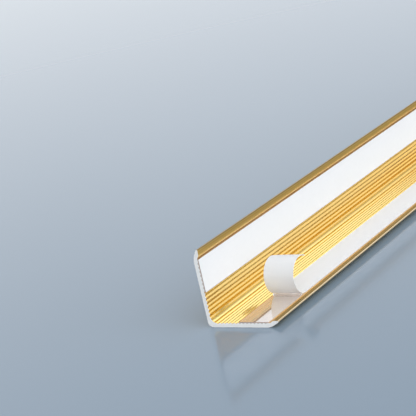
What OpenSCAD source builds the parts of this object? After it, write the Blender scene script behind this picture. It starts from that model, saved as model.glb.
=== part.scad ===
// Self-adhesive wall corner guard: one length of L-shaped aluminium extrusion with a ribbed
// inside, a double-sided tape along each leg, and a release liner on each tape.
// The guard lies with one leg flat and the other upright, its cut ends square to its length.
// The origin is at the middle of the length, under the middle of the width. X runs from the
// corner across the flat leg, Y runs along the guard, Z runs up the standing leg.

/* [Guard] */
// Length of the guard
guard_len = 1000; // [300:10:3000]
// Width of each leg, from the outside of the corner to the tip of the lip
leg_w = 25; // [20:0.5:50]
// Thickness of a leg, over its ribs
wall = 1.45; // [1:0.05:2]
// Outside radius of the corner
corner_r = 1.6; // [0.8:0.1:3]
// Inside radius of the corner, from the level of one leg's ribs to that of the other's
inner_r = 1.4; // [0.3:0.1:2]

/* [Ribs] */
// Distance from one rib to the next
rib_pitch = 1.3; // [1.1:0.05:2.5]
// Height of a rib above the grooves
rib_h = 0.3; // [0.15:0.01:0.45]
// Width of the flat top of a rib
rib_top = 0.24; // [0.15:0.01:0.4]
// Width of a rib at its foot
rib_foot = 1.04; // [0.6:0.02:1.2]
// Distance from the end of the inside radius to the middle of the first rib
rib_gap = 1.4; // [1:0.05:3]

/* [Lip] */
// Angle by which the lip turns in from the leg
lip_angle = 31; // [15:1:40]
// Thickness of the lip
lip_t = 1.3; // [0.8:0.05:2]
// Height of the lip's flat edge above the inside of the leg
lip_h = 0.7; // [0.5:0.05:2]
// Radius of the lip's tip
tip_r = 0.3; // [0.1:0.05:0.5]
// Outside radius of the bend between leg and lip
bend_r = 6; // [3:0.5:8]

/* [Tape] */
// Width of each tape and of the liner on it
tape_w = 10.5; // [6:0.5:14]
// Thickness of the tape
tape_t = 0.3; // [0.2:0.05:0.8]
// Distance from the tape on the flat leg to the foot of its lip
flat_tape_gap = 0.4; // [0:0.05:2.5]
// Distance from the tape on the standing leg to the foot of its lip
standing_tape_gap = 0.25; // [0:0.05:2.5]

/* [Liner] */
// Thickness of the release liner
liner_t = 0.15; // [0.1:0.01:0.3]
// Length of tape that the peeled liner has bared at the near end
peel_len = 24; // [12:1:34]
// Inside radius of the curl of the peeled liner
curl_r = 5.7; // [4:0.1:8]
// Distance by which the peeled liner was cut short of the near end of its tape
liner_setback = 2; // [0:0.5:6]

/* [Hidden] */

$fn = 96;
// Steps in each round stretch of the section
arc_steps = 12;
near_end = -guard_len / 2;
corner_x = -leg_w / 2;
web = wall - rib_h;
// Height of the lip's flat edge above the outside of the leg
lip_rise = wall + lip_h;
// Middle of the lip's round tip
tip = [leg_w - tip_r, lip_rise - tip_r];
// Where the straight outside face of the lip would meet the outside face of the leg
lip_apex_x = tip[0] + tip_r * sin(lip_angle)
    - (tip[1] - tip_r * cos(lip_angle)) / tan(lip_angle);
bend_x = lip_apex_x - bend_r * tan(lip_angle / 2);
// The lip's inside face runs from its foot up to its flat edge
lip_edge_x = lip_apex_x + lip_rise / tan(lip_angle) - lip_t / sin(lip_angle);
lip_foot_x = lip_edge_x - lip_h / tan(lip_angle);
// Half the width by which a rib is wider at its foot than at its top
flank = (rib_foot - rib_top) / 2;
// Where the inside radius ends and the first groove begins
corner_end = wall + inner_r;
// Middle of the first rib
rib_start = corner_end + rib_gap;
rib_count = floor((lip_foot_x - rib_start) / rib_pitch);
// Middle of the shoulder that the lip rises from, one pitch past the last rib
shoulder_x = rib_start + rib_count * rib_pitch;
flat_tape_x = lip_foot_x - flat_tape_gap - tape_w;
standing_tape_z = lip_foot_x - standing_tape_gap - tape_w;
liner_z = wall + tape_t;
// The curl takes the length of liner that came off the tape
curl_angle = (peel_len - liner_setback) / (curl_r + liner_t) * 180 / PI;

function arc(center, r, from, to) =
    [for (i = [0:arc_steps]) let (a = from + (to - from) * i / arc_steps)
        center + r * [cos(a), sin(a)]];

function rib(middle) = [
    [middle + rib_foot / 2, web],
    [middle + rib_top / 2, wall],
    [middle - rib_top / 2, wall],
    [middle - rib_foot / 2, web],
];

// One leg's outline: from the middle of the outer corner along the outside, round the lip,
// and back over the ribs to the middle of the inner corner
function leg_outline() = concat(
    arc([corner_r, corner_r], corner_r, 225, 270),
    arc([bend_x, bend_r], bend_r, 270, 270 + lip_angle),
    arc(tip, tip_r, lip_angle - 90, 90),
    [[lip_edge_x, lip_rise], [lip_foot_x, wall]],
    [[shoulder_x - rib_top / 2, wall], [shoulder_x - rib_foot / 2, web]],
    [for (i = [rib_count - 1:-1:0]) each rib(rib_start + i * rib_pitch)],
    [[corner_end + flank, web]],
    arc([corner_end, corner_end], inner_r, 270, 225)
);

// The other leg is the mirror image across the diagonal of the corner
module section() {
    leg = leg_outline();
    last = len(leg) - 1;
    polygon(concat(leg, [for (i = [last - 1:-1:1]) [leg[i][1], leg[i][0]]]));
}

// Extrudes a section, drawn in X and Z from the outside of the corner, over the whole length
module along_guard() {
    translate([corner_x, near_end + guard_len, 0])
        rotate([90, 0, 0])
            linear_extrude(guard_len)
                children();
}

// Section of a strip on the standing leg, at a depth from the leg's outside face
module standing_strip(depth, thickness) {
    translate([depth, standing_tape_z])
        square([thickness, tape_w]);
}

module corner_profile() {
    color("goldenrod")
        along_guard()
            section();
}

module tape_flat_leg() {
    color("bisque")
        along_guard()
            translate([flat_tape_x, wall])
                square([tape_w, tape_t]);
}

module tape_standing_leg() {
    color("bisque")
        along_guard()
            standing_strip(wall, tape_t);
}

// The liner is flat on its tape up to the peel line, then curls up and back over itself
module liner_peeled() {
    color("whitesmoke")
        translate([corner_x + flat_tape_x, near_end + peel_len, liner_z]) {
            cube([tape_w, guard_len - peel_len, liner_t]);
            translate([0, 0, liner_t + curl_r])
                rotate([0, 90, 0])
                    rotate_extrude(angle = -curl_angle)
                        translate([curl_r, 0])
                            square([liner_t, tape_w]);
        }
}

module liner_flat() {
    color("white")
        along_guard()
            standing_strip(liner_z, liner_t);
}

corner_profile();
tape_flat_leg();
tape_standing_leg();
liner_peeled();
liner_flat();
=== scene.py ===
"""Looks of a self-adhesive wall corner guard: gold anodised aluminium with a ribbed inside, two strips
of adhesive tape, and their white release liners, one of them peeled back in a curl.

Everything is in metres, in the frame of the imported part: X across the flat leg, Y along the guard,
Z up the standing leg.
"""

import math

import bpy
from mathutils import Matrix, Vector, noise


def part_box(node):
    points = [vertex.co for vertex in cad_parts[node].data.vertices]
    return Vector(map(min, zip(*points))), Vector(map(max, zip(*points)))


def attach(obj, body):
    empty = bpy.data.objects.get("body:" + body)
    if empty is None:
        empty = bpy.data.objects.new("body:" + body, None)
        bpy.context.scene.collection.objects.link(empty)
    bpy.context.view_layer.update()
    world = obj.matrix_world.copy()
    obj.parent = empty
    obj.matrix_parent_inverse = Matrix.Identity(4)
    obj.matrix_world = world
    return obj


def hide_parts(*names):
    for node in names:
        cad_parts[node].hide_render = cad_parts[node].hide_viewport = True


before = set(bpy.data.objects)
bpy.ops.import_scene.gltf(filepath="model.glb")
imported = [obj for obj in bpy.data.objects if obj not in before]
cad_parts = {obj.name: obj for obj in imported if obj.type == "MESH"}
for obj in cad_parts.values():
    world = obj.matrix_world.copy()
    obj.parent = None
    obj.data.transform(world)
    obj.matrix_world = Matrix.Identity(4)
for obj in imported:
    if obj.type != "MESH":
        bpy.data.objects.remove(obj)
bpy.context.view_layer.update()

MM = 0.001

# Places and sizes that the frame gives
profile_low, profile_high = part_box("corner_profile")
near_end = profile_low.y
far_end = profile_high.y
leg_width = profile_high.z - profile_low.z
corner = Vector((profile_low.x, near_end, profile_low.z))
flat_tape_low, flat_tape_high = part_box("tape_flat_leg")
standing_tape_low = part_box("tape_standing_leg")[0]
peeled_low, peeled_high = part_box("liner_peeled")
flat_liner_low, flat_liner_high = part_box("liner_flat")
liner_thickness = flat_liner_high.x - flat_liner_low.x

# The curl of the peeled liner: it leaves the tape at the peel line and rolls back over itself
curl_radius = (peeled_high.z - peeled_low.z) / 2
curl_middle = peeled_low.z + curl_radius
peel_line = peeled_low.y + curl_radius
curl_turn = math.radians(215)


def photo_camera():
    """The camera, at the photograph's place relative to the guard's near end."""
    from_corner = Vector((252.6, -342.7, 149.6)) * MM
    right = Vector((0.8282, 0.5171, -0.2161)).normalized()
    up = Vector((0.0376, 0.3335, 0.9420))
    back = right.cross(up).normalized()
    up = back.cross(right)
    focal_px = 1482.5
    frame_px = 416
    data = bpy.data.cameras.new("camera")
    data.sensor_width = 36
    data.sensor_fit = "HORIZONTAL"
    data.lens = data.sensor_width * focal_px / frame_px
    data.clip_start = 0.01
    data.clip_end = 20
    camera = bpy.data.objects.new("camera", data)
    rotation = Matrix((right, up, back)).transposed().to_4x4()
    camera.matrix_world = Matrix.Translation(corner + from_corner) @ rotation
    bpy.context.scene.collection.objects.link(camera)
    bpy.context.scene.camera = camera


class Nodes:
    """Short calls for making a material's nodes and links."""

    def __init__(self, name):
        self.material = bpy.data.materials.new(name)
        self.material.use_nodes = True
        self.tree = self.material.node_tree
        self.shader = self.tree.nodes["Principled BSDF"]

    def add(self, kind, **settings):
        node = self.tree.nodes.new(kind)
        for key, value in settings.items():
            setattr(node, key, value)
        return node

    def feed(self, socket, value):
        """Links a socket, or sets a plain value."""
        if isinstance(value, bpy.types.NodeSocket):
            self.tree.links.new(value, socket)
        else:
            socket.default_value = value

    def shade(self, **values):
        """Feeds the shader's sockets, named with an underscore for each space."""
        for key, value in values.items():
            self.feed(self.shader.inputs[key.replace("_", " ")], value)

    def coordinates(self, kind="Object"):
        return self.add("ShaderNodeTexCoord").outputs[kind]

    def parts(self, kind="Object"):
        """X, Y and Z of the point on the surface, or of the way that it faces."""
        node = self.add("ShaderNodeSeparateXYZ")
        self.feed(node.inputs[0], self.coordinates(kind))
        return [node.outputs[axis] for axis in "XYZ"]

    def stretched(self, scale):
        """Object coordinates, scaled along each axis."""
        node = self.add("ShaderNodeMapping")
        self.feed(node.inputs["Vector"], self.coordinates())
        node.inputs["Scale"].default_value = scale
        return node.outputs["Vector"]

    def noise(self, scale, detail=2.0, roughness=0.5):
        """Noise with so many grains to the metre along each axis."""
        node = self.add("ShaderNodeTexNoise")
        self.feed(node.inputs["Vector"], self.stretched(scale))
        node.inputs["Scale"].default_value = 1
        node.inputs["Detail"].default_value = detail
        node.inputs["Roughness"].default_value = roughness
        return node.outputs["Fac"]

    def math(self, operation, first, second=0.0):
        node = self.add("ShaderNodeMath", operation=operation)
        self.feed(node.inputs[0], first)
        self.feed(node.inputs[1], second)
        return node.outputs[0]

    def span(self, value, low, high, start=0.0, stop=1.0):
        """Goes from low to high as the value goes from start to stop, and no further."""
        node = self.add("ShaderNodeMapRange")
        self.feed(node.inputs["Value"], value)
        node.inputs["From Min"].default_value = start
        node.inputs["From Max"].default_value = stop
        node.inputs["To Min"].default_value = low
        node.inputs["To Max"].default_value = high
        return node.outputs["Result"]

    def mix(self, factor, first, second):
        """Mixes two numbers."""
        node = self.add("ShaderNodeMix", data_type="FLOAT")
        for name, value in (("Factor", factor), ("A", first), ("B", second)):
            self.feed(node.inputs[name], value)
        return node.outputs["Result"]

    def mix_colour(self, factor, first, second):
        """Mixes two colours, each of them red, green and blue or the colour of a node."""
        node = self.add("ShaderNodeMix", data_type="RGBA")
        self.feed(node.inputs[0], factor)
        for socket, value in ((node.inputs[6], first), (node.inputs[7], second)):
            self.feed(socket, (*value, 1) if isinstance(value, tuple) else value)
        return node.outputs[2]

    def mix_normal(self, factor, first, second):
        node = self.add("ShaderNodeMix", data_type="VECTOR")
        for socket, value in ((node.inputs[0], factor), (node.inputs[4], first), (node.inputs[5], second)):
            self.feed(socket, value)
        return node.outputs[1]

    def bump(self, height, distance, normal=None, strength=1.0):
        node = self.add("ShaderNodeBump")
        self.feed(node.inputs["Height"], height)
        self.feed(node.inputs["Strength"], strength)
        node.inputs["Distance"].default_value = distance
        if normal is not None:
            self.feed(node.inputs["Normal"], normal)
        return node.outputs["Normal"]

    def bevel(self, radius):
        node = self.add("ShaderNodeBevel", samples=6)
        node.inputs["Radius"].default_value = radius
        return node.outputs["Normal"]


def cut_ends(n):
    """1 on the faces at right angles to the guard's length, and 0 elsewhere."""
    return n.math("GREATER_THAN", n.math("ABSOLUTE", n.parts("Normal")[1]), 0.9)


def lips(n, gold, streaks):
    """Painted light and shade on the lips, over the colours of the legs, and where their flat edges are.

    Each lip has a painted shadow line at its foot, a slope painted paler as a paler reflection, and a flat
    edge painted deeper as a dark reflection. The tip has painted shade on the standing leg and a painted
    highlight on the flat leg.
    """
    x, _, z = n.parts()
    out_of_standing = n.math("SUBTRACT", x, corner.x)
    above_flat = n.math("SUBTRACT", z, corner.z)
    on_flat_leg = n.math("GREATER_THAN", out_of_standing, above_flat)
    from_tip = n.math("SUBTRACT", leg_width, n.math("MAXIMUM", out_of_standing, above_flat))

    def within(distance, blur=0.05 * MM):
        return n.span(from_tip, 0, 1, distance + blur, distance - blur)

    streaky = n.span(streaks, 0, 1, 0.35, 0.65)
    tip = within(0.3 * MM)
    edge = within(1.75 * MM)
    slope = within(2.575 * MM, 0.075 * MM)
    foot = within(3.15 * MM)
    # Painted light: the flat edges are painted deeper, as dark reflections, and the tips get painted shade
    # on the standing leg and a painted highlight on the flat leg
    standing = n.mix_colour(streaky, (0.72, 0.44, 0.12), (0.80, 0.54, 0.18))
    standing = n.mix_colour(tip, standing, (0.34, 0.24, 0.12))
    flat = n.mix_colour(streaky, (0.31, 0.215, 0.085), (0.44, 0.31, 0.145))
    flat = n.mix_colour(tip, flat, (0.80, 0.65, 0.43))
    # Painted shadow line along each lip's foot, and a slope painted paler, as a paler reflection
    lip = n.mix_colour(slope, (0.40, 0.26, 0.13), (0.80, 0.70, 0.50))
    lip = n.mix_colour(edge, lip, n.mix_colour(on_flat_leg, standing, flat))
    return n.mix_colour(foot, gold, lip), edge


def gold_anodised():
    """Satin gold along the guard, and the bare sawn metal on its cut ends."""
    n = Nodes("gold_anodised_aluminium")
    sawn = cut_ends(n)
    facing_x, _, facing_z = n.parts("Normal")
    outside = n.math("LESS_THAN", n.math("MINIMUM", facing_x, facing_z), -0.75)

    # Anodising: a little uneven in depth, with streaks along the extrusion
    cloud = n.noise((60, 9, 60), 3)
    streaks = n.noise((2600, 7, 2600), 3, 0.6)
    tone = n.math("ADD", n.math("MULTIPLY", cloud, 0.5), n.math("MULTIPLY", streaks, 0.5))
    gold = n.mix_colour(n.span(tone, 0, 1, 0.3, 0.7), (0.80, 0.58, 0.195), (0.89, 0.68, 0.26))
    # Painted light and shade on the lips
    gold, flat_edge = lips(n, gold, streaks)
    brushed = n.mix_colour(n.span(tone, 0, 1, 0.35, 0.65), (0.82, 0.58, 0.25), (0.90, 0.67, 0.33))
    gold = n.mix_colour(outside, gold, brushed)
    bare = n.mix_colour(n.noise((900, 900, 900), 3), (0.93, 0.92, 0.90), (1, 0.99, 0.97))

    # The inside is smooth off the die, while the outside and the lips' flat edges are brushed
    smooth = n.span(tone, 0.14, 0.20, 0.3, 0.7)
    satin = n.span(tone, 0.34, 0.44, 0.3, 0.7)
    roughness = n.mix(n.math("MAXIMUM", outside, flat_edge), smooth, satin)

    broken_edges = n.bevel(0.04 * MM)
    grain = n.span(streaks, 0, 1, 0.2, 0.8)
    lengthwise = n.bump(grain, 0.0025 * MM, broken_edges, n.mix(outside, 0.5, 1.0))
    saw_lines = n.bump(n.noise((350, 0, 6500), 2, 0.6), 0.02 * MM, broken_edges)
    n.shade(
        Base_Color=n.mix_colour(sawn, gold, bare),
        Metallic=n.mix(sawn, 1.0, 0.1),
        Specular_Tint=(1, 0.84, 0.55, 1),
        Roughness=n.mix(sawn, roughness, 0.42),
        Normal=n.mix_normal(sawn, lengthwise, saw_lines),
    )
    return n.material


def adhesive():
    """Clear pinkish adhesive with a wet gloss. Its cut ends are dull, and lighter in the grooves."""
    n = Nodes("adhesive_tape")
    cut_end = cut_ends(n)
    x, _, z = n.parts()
    above_ribs = n.math("MINIMUM", n.math("SUBTRACT", x, standing_tape_low.x),
                        n.math("SUBTRACT", z, flat_tape_low.z))
    in_groove = n.math("LESS_THAN", above_ribs, 0)
    end = n.mix_colour(in_groove, (0.46, 0.33, 0.27), (0.72, 0.68, 0.64))
    patches = n.noise((120, 60, 120), 3)
    face = n.mix_colour(n.span(patches, 0, 1, 0.3, 0.7), (0.77, 0.62, 0.53), (0.83, 0.68, 0.59))
    n.shade(
        Base_Color=n.mix_colour(cut_end, face, end),
        Roughness=n.span(n.noise((1500, 400, 1500), 2), 0.02, 0.05),
        Coat_Weight=n.math("SUBTRACT", 1, cut_end),
        Coat_Roughness=0.01,
        Coat_IOR=8,
        Normal=n.bump(patches, 0.01 * MM),
    )
    return n.material


def release_liner():
    """White paper with a faint fibre and a soft sheen, a little darker on its release side: partly that
    side's own tone and partly painted shade.
    """
    n = Nodes("release_liner")
    fibre = n.noise((900, 600, 900), 4, 0.6)
    cockle = n.noise((90, 30, 90), 2)
    paper = n.mix_colour(fibre, (0.78, 0.785, 0.79), (0.82, 0.825, 0.83))
    # The release side's darker colour is partly its own tone and partly painted shade on the curl's outer
    # side, which faces down to the tape
    coating_and_shade = n.mix_colour(fibre, (0.73, 0.733, 0.738), (0.76, 0.763, 0.768))

    # The peeled liner's coated side faces away from the middle of its curl
    x, y, z = n.parts()
    _, facing_y, facing_z = n.parts("Normal")
    outward = n.math("ADD", n.math("MULTIPLY", n.math("SUBTRACT", y, peel_line), facing_y),
                     n.math("MULTIPLY", n.math("SUBTRACT", z, curl_middle), facing_z))
    tolerance = 0.1 * MM
    on_peeled = n.math("GREATER_THAN", x, peeled_low.x - tolerance)
    coated_and_shaded = n.math("MULTIPLY", on_peeled, n.math("GREATER_THAN", outward, tolerance))
    n.shade(
        Base_Color=n.mix_colour(coated_and_shaded, paper, coating_and_shade),
        Roughness=n.span(fibre, 0.38, 0.5),
        Normal=n.bump(fibre, 0.004 * MM, n.bump(cockle, 0.05 * MM)),
    )
    return n.material


def dress(node, material):
    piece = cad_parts[node]
    piece.data.materials.clear()
    piece.data.materials.append(material)


def sweep(name, ring, stations, place, material):
    """A closed strip: the ring's points carried along the stations by place(station, across, up).

    The ring lists its upper points from left to right and then its lower points from right to left,
    as many of each, so that the ends close with one row of faces.
    """
    vertices = [place(s, across, up) for s in stations for across, up in ring]
    count = len(ring)
    faces = []
    for i in range(len(stations) - 1):
        for j in range(count):
            k = (j + 1) % count
            first = i * count
            second = first + count
            faces.append((first + j, second + j, second + k, first + k))
    last = (len(stations) - 1) * count
    for j in range(count // 2 - 1):
        mate = count - 1 - j
        faces.append((j, j + 1, mate - 1, mate))
        faces.append((last + mate, last + mate - 1, last + j + 1, last + j))
    data = bpy.data.meshes.new(name)
    data.from_pydata(vertices, [], faces)
    data.validate()
    data.materials.append(material)
    for polygon in data.polygons:
        polygon.use_smooth = True
    data.set_sharp_from_angle(angle=math.radians(40))
    piece = bpy.data.objects.new(name, data)
    bpy.context.scene.collection.objects.link(piece)
    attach(piece, "root")
    return piece


def spread(first, last, steps):
    """Evenly spaced numbers from first to last, both of them included."""
    return [first + (last - first) * i / steps for i in range(steps + 1)]


def liner_ring(width, thickness, steps=12):
    across = spread(0, width, steps)
    return [(a, thickness) for a in across] + [(a, 0) for a in reversed(across)]


def liner_peeled(material):
    """Flat on its tape from the far end to the peel line, then a curl with a slightly loose end."""
    left = peeled_low.x
    width = peeled_high.x - peeled_low.x
    flat_length = far_end - peel_line
    cockle_height = 0.03 * MM
    cockle_fade = 10 * MM
    looseness = 0.12 * MM

    def place(s, across, up):
        if s <= flat_length:
            y = far_end - s
            ripple = max(0, noise.noise(Vector((across * 120, y * 45, 0))))
            lift = ripple * cockle_height * min(1, (flat_length - s) / cockle_fade)
            return (left + across, y, peeled_low.z + lift + up)
        turn = (s - flat_length) / curl_radius
        share = turn / curl_turn
        loose = looseness * share * share * math.sin(2.2 * across / width + 0.4)
        radius = curl_radius - up + loose
        return (left + across, peel_line - radius * math.sin(turn), curl_middle - radius * math.cos(turn))

    end = flat_length + curl_radius * curl_turn
    stations = spread(0, flat_length, 240) + spread(flat_length, end, 96)[1:]
    piece = sweep("peeled_liner_strip", liner_ring(width, liner_thickness), stations, place, material)
    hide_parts("liner_peeled")


def pressed_tape(node, across, up, material):
    """A tape whose underside has been pressed most of the way into the grooves between the ribs.

    The tape lies across one axis and up another, each 0 for X or 2 for Z. Its underside follows the
    section that the near end of the profile shows under it.
    """
    low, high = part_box(node)
    left, right = low[across], high[across]
    bottom, top = low[up], high[up]
    deepest = bottom - 0.5 * MM
    points = {(round(v.co[across], 7), v.co[up]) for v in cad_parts["corner_profile"].data.vertices
              if abs(v.co.y - near_end) < 0.01 * MM
              and left < v.co[across] < right and deepest < v.co[up] < top}
    pressed = 0.85
    under = [(left, bottom)]
    under += [(a, bottom + (height - bottom) * pressed) for a, height in sorted(points)]
    under += [(right, bottom)]
    ring = [(a, top) for a, _ in under] + under[::-1]

    def place(s, across_place, height):
        point = [0, s, 0]
        point[across], point[up] = across_place, height
        return point

    # The direction along the guard that turns the faces outward
    stations = spread(far_end, near_end, 8) if up == 2 else spread(near_end, far_end, 8)
    piece = sweep("pressed_" + node, ring, stations, place, material)
    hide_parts(node)


def peel_fillet(material):
    """Adhesive that has followed the liner a little way up at the peel line."""
    drawn_up = math.radians(26)
    reach = 0.6 * MM
    unevenness = 0.25
    crest = -curl_radius * math.sin(drawn_up)
    crest_height = curl_radius * (1 - math.cos(drawn_up))
    front = [(crest - reach * (1 - share), crest_height * share ** 2) for share in spread(0, 1, 5)]
    under_liner = [(-curl_radius * math.sin(angle), curl_radius * (1 - math.cos(angle)))
                   for angle in spread(drawn_up, math.radians(5), 8)[1:]]
    upper = front + under_liner
    ring = upper + [(y, 0) for y, _ in reversed(upper)]

    def place(x, y, height):
        wander = noise.noise(Vector((x * 400, 0, 5))) * unevenness
        share = min(1, max(0, (crest - y) / reach))
        return (x, peel_line + y - share * wander * reach, flat_tape_high.z + height)

    sweep("peel_fillet", ring, spread(flat_tape_low.x, flat_tape_high.x, 30), place, material)


def floor():
    """Pale blue-grey floor with a soft gloss."""
    n = Nodes("floor")
    n.shade(Base_Color=(0.198, 0.268, 0.342, 1), Roughness=0.12, IOR=1.5)
    half = 8
    below_guard = 0.02 * MM
    data = bpy.data.meshes.new("floor")
    data.from_pydata([(-half, -half, 0), (half, -half, 0), (half, half, 0), (-half, half, 0)],
                     [], [(0, 1, 2, 3)])
    data.materials.append(n.material)
    piece = bpy.data.objects.new("floor", data)
    piece.location.z = -below_guard
    bpy.context.scene.collection.objects.link(piece)


def toward(bearing, height):
    """A direction from the guard. The bearing is measured in degrees from +Y towards +X."""
    bearing = math.radians(bearing)
    height = math.radians(height)
    level = math.cos(height)
    return Vector((math.sin(bearing) * level, math.cos(bearing) * level, math.sin(height)))


def softbox(name, bearing, height, size, power, colour):
    """A soft light that faces the near end from 5 m away."""
    distance = 5
    aim = Vector((0, near_end + 60 * MM, 0))
    data = bpy.data.lights.new(name, "AREA")
    data.shape = "RECTANGLE"
    data.size, data.size_y = size
    data.energy = power
    data.color = colour
    light = bpy.data.objects.new(name, data)
    way = toward(bearing, height)
    light.location = aim + way * distance
    light.rotation_mode = "QUATERNION"
    light.rotation_quaternion = (-way).to_track_quat("-Z", "Y")
    bpy.context.scene.collection.objects.link(light)


def studio():
    """A pale surround with broad soft glows, and two soft lights that the ribs mirror."""
    scene = bpy.context.scene
    scene.view_settings.view_transform = "Standard"
    world = bpy.data.worlds.new("studio")
    scene.world = world
    world.use_nodes = True
    tree = world.node_tree
    background = tree.nodes["Background"]
    background.inputs["Color"].default_value = (0.97, 0.985, 1.0, 1)
    direction = tree.nodes.new("ShaderNodeTexCoord").outputs["Generated"]
    parts = tree.nodes.new("ShaderNodeSeparateXYZ")
    tree.links.new(direction, parts.inputs[0])
    x, y, z = (parts.outputs[axis] for axis in "XYZ")

    def math_node(operation, first, second):
        node = tree.nodes.new("ShaderNodeMath")
        node.operation = operation
        tree.links.new(first, node.inputs[0])
        tree.links.new(second, node.inputs[1])
        return node.outputs[0]

    def ramp(value, start, stop, low, high):
        """Goes smoothly from low to high as the value goes from start to stop."""
        node = tree.nodes.new("ShaderNodeMapRange")
        node.interpolation_type = "SMOOTHSTEP"
        tree.links.new(value, node.inputs["Value"])
        for name, number in (("From Min", start), ("From Max", stop), ("To Min", low), ("To Max", high)):
            node.inputs[name].default_value = number
        return node.outputs["Result"]

    def glow(bearing, height, inner, outer, strength):
        """A soft glow that is full within one angle of its middle and gone beyond another."""
        node = tree.nodes.new("ShaderNodeVectorMath")
        node.operation = "DOT_PRODUCT"
        tree.links.new(direction, node.inputs[0])
        node.inputs[1].default_value = toward(bearing, height)
        return ramp(node.outputs["Value"], math.cos(math.radians(outer)), math.cos(math.radians(inner)),
                    0, strength)

    # Brightest low on the far left, where the floor mirrors it, and dimmer overhead and behind the camera
    blend = tree.nodes.new("ShaderNodeMix")
    blend.data_type = "FLOAT"
    tree.links.new(ramp(x, -0.3, 0.3, 0, 1), blend.inputs["Factor"])
    tree.links.new(ramp(z, 0.12, 0.6, 1.12, 0.6), blend.inputs["A"])
    blend.inputs["B"].default_value = 0.62
    strength = math_node("MULTIPLY", blend.outputs["Result"], ramp(y, -0.5, 0.1, 0.55, 1))
    strength = math_node("MULTIPLY", strength, ramp(z, 0.7, 0.95, 1, 0.6))

    # On the standing leg's liner from the right, on the cut end, and on the outside of the standing leg
    for beam in (glow(114, 27, 8, 56, 2.45), glow(172, 16, 8, 50, 0.42), glow(262, 40, 8, 58, 0.4)):
        strength = math_node("ADD", strength, beam)
    tree.links.new(strength, background.inputs["Strength"])

    softbox("far_side", 8, 43, (4.1, 2.3), 31, (0.83, 1, 1.28))
    softbox("far_right", 18, 22.5, (3.2, 1.1), 6.9, (1, 0.79, 0.8))


photo_camera()
gold = gold_anodised()
tape = adhesive()
liner = release_liner()
dress("corner_profile", gold)
dress("liner_peeled", liner)
dress("liner_flat", liner)
pressed_tape("tape_flat_leg", 0, 2, tape)
pressed_tape("tape_standing_leg", 2, 0, tape)
liner_peeled(liner)
peel_fillet(tape)
floor()
studio()
